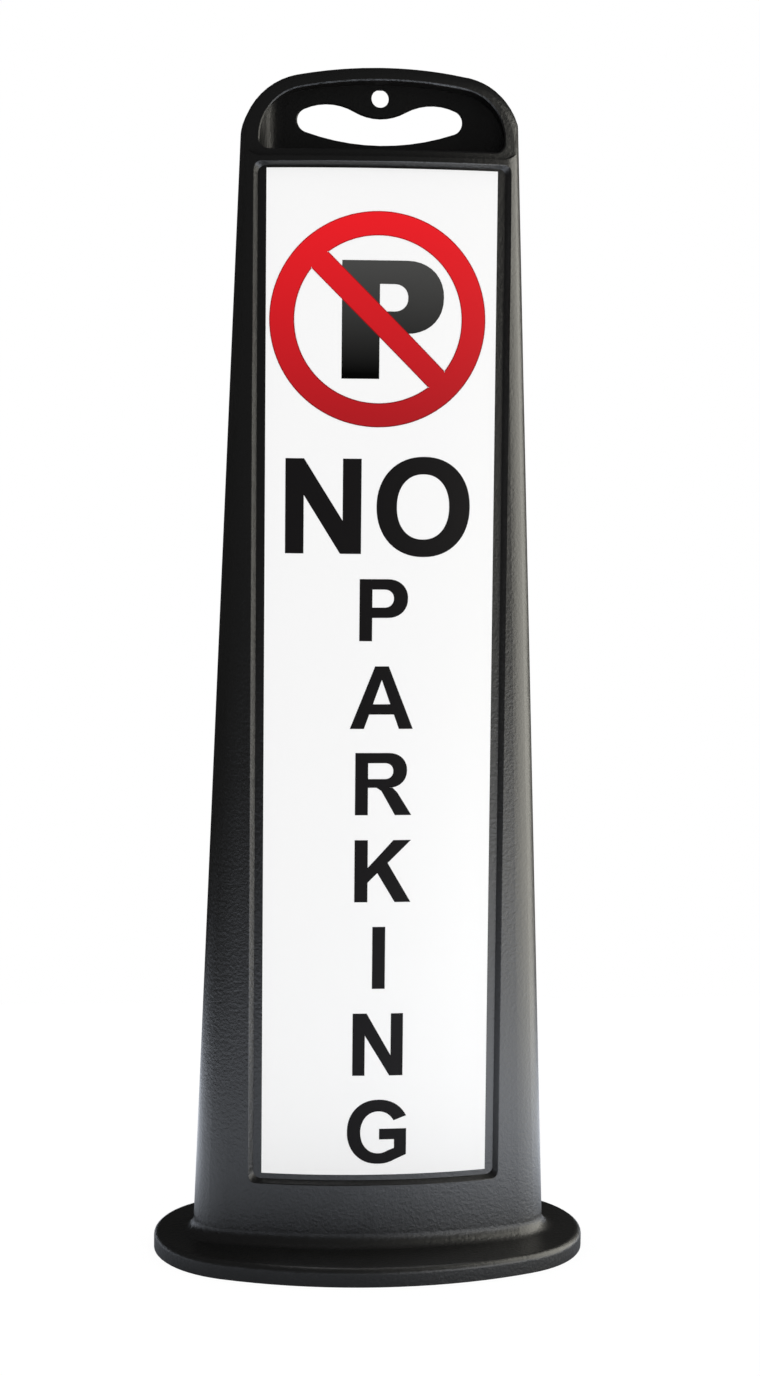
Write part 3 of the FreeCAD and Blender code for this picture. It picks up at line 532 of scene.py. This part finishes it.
corners = [(x * FLOOR_HALF, y * FLOOR_HALF, 0) for x, y in ((-1, -1), (1, -1), (1, 1), (-1, 1))]
floor = new_piece("floor", corners, [(0, 1, 2, 3)])
dress(floor, pale_floor)

world = bpy.data.worlds.new("studio")
bpy.context.scene.world = world
world.use_nodes = True
sky = world.node_tree
sky.nodes.clear()
sky_rays = add(sky, "ShaderNodeLightPath").outputs
backdrop, dome, mirrored_dome = (
    add(sky, "ShaderNodeBackground", {"Color": linear("#ffffff"), "Strength": strength})
    for strength in (1.0, 1.0, MIRRORED_DOME))
around = add(sky, "ShaderNodeMixShader", {
    0: sky_rays["Is Glossy Ray"], 1: dome.outputs["Background"], 2: mirrored_dome.outputs["Background"]})
shown = add(sky, "ShaderNodeMixShader", {
    0: sky_rays["Is Camera Ray"], 1: around.outputs["Shader"], 2: backdrop.outputs["Background"]})
add(sky, "ShaderNodeOutputWorld", {"Surface": shown.outputs["Shader"]})
print("world:", world.name, "with", len(sky.nodes), "nodes")

# %% [markdown]
# The dome of the world lights the sheet evenly. Black plastic shows little but what it mirrors, so two
# soft boxes stand on the floor at the right and only show as sheen: a tall warm one at the side lights the
# whole flank, and a low one nearer the front lights the foot of the panel. Both are large, so their light
# has no hard edge.

# %% Lamps
def soft_box(name, place, aim, width, height, power, colour):
    """a rectangular lamp that faces the point aim, with its sizes in metres and its power in watts"""
    data = bpy.data.lights.new(name, "AREA")
    data.shape = "RECTANGLE"
    data.size, data.size_y, data.energy = width, height, power
    data.color = linear(colour)[:3]
    lamp = new_object(name, data)
    lamp.location = place
    lamp.rotation_mode = "QUATERNION"
    lamp.rotation_quaternion = (Vector(aim) - Vector(place)).to_track_quat("-Z", "Y")
    lamp.visible_diffuse = False
    print(name, "stands at", place, "with", power, "W")


soft_box("right_box", place=(0.8, -0.05, 0.62), aim=(0, -0.05, 0.62), width=1.0, height=1.24,
         power=16.4, colour="#fffcf0")
soft_box("low_box", place=(0.64, -0.8, 0.16), aim=(0.12, -0.06, 0.16), width=0.7, height=0.32,
         power=2.6, colour="#ffffff")

# %% [markdown]
# The photograph was taken from a little to the left, from about the height of the symbol, looking slightly
# down. The camera stands on a circle round the sign. It is panned and pitched to centre the sign, and its
# own right and up are then turned by a small roll. Written as a matrix, each of these angles stays a value
# that can be read and changed alone.

# %% Camera
AZIMUTH, PAN, PITCH, ROLL = (math.radians(angle) for angle in (-5.39, -0.13, 6.51, 0.62))
DISTANCE, HEIGHT = 2.5, 0.81456
LENS, SENSOR_WIDTH = 71.06, 36

yaw = PAN + AZIMUTH
ahead = Vector((-math.sin(yaw) * math.cos(PITCH), math.cos(yaw) * math.cos(PITCH), -math.sin(PITCH)))
right = Vector((math.cos(yaw), math.sin(yaw), 0))
up = right.cross(ahead)
rolled_right = math.cos(ROLL) * right + math.sin(ROLL) * up
rolled_up = math.cos(ROLL) * up - math.sin(ROLL) * right

camera_data = bpy.data.cameras.new("camera")
camera_data.lens, camera_data.sensor_width = LENS, SENSOR_WIDTH
camera = new_object("camera", camera_data)
stand = Vector((DISTANCE * math.sin(AZIMUTH), -DISTANCE * math.cos(AZIMUTH), HEIGHT))
turn = Matrix((rolled_right, rolled_up, -ahead)).transposed()
camera.matrix_world = Matrix.Translation(stand) @ turn.to_4x4()
bpy.context.scene.camera = camera
bpy.context.scene.view_settings.view_transform = "Standard"
print("the camera stands at", [round(value, 3) for value in stand])
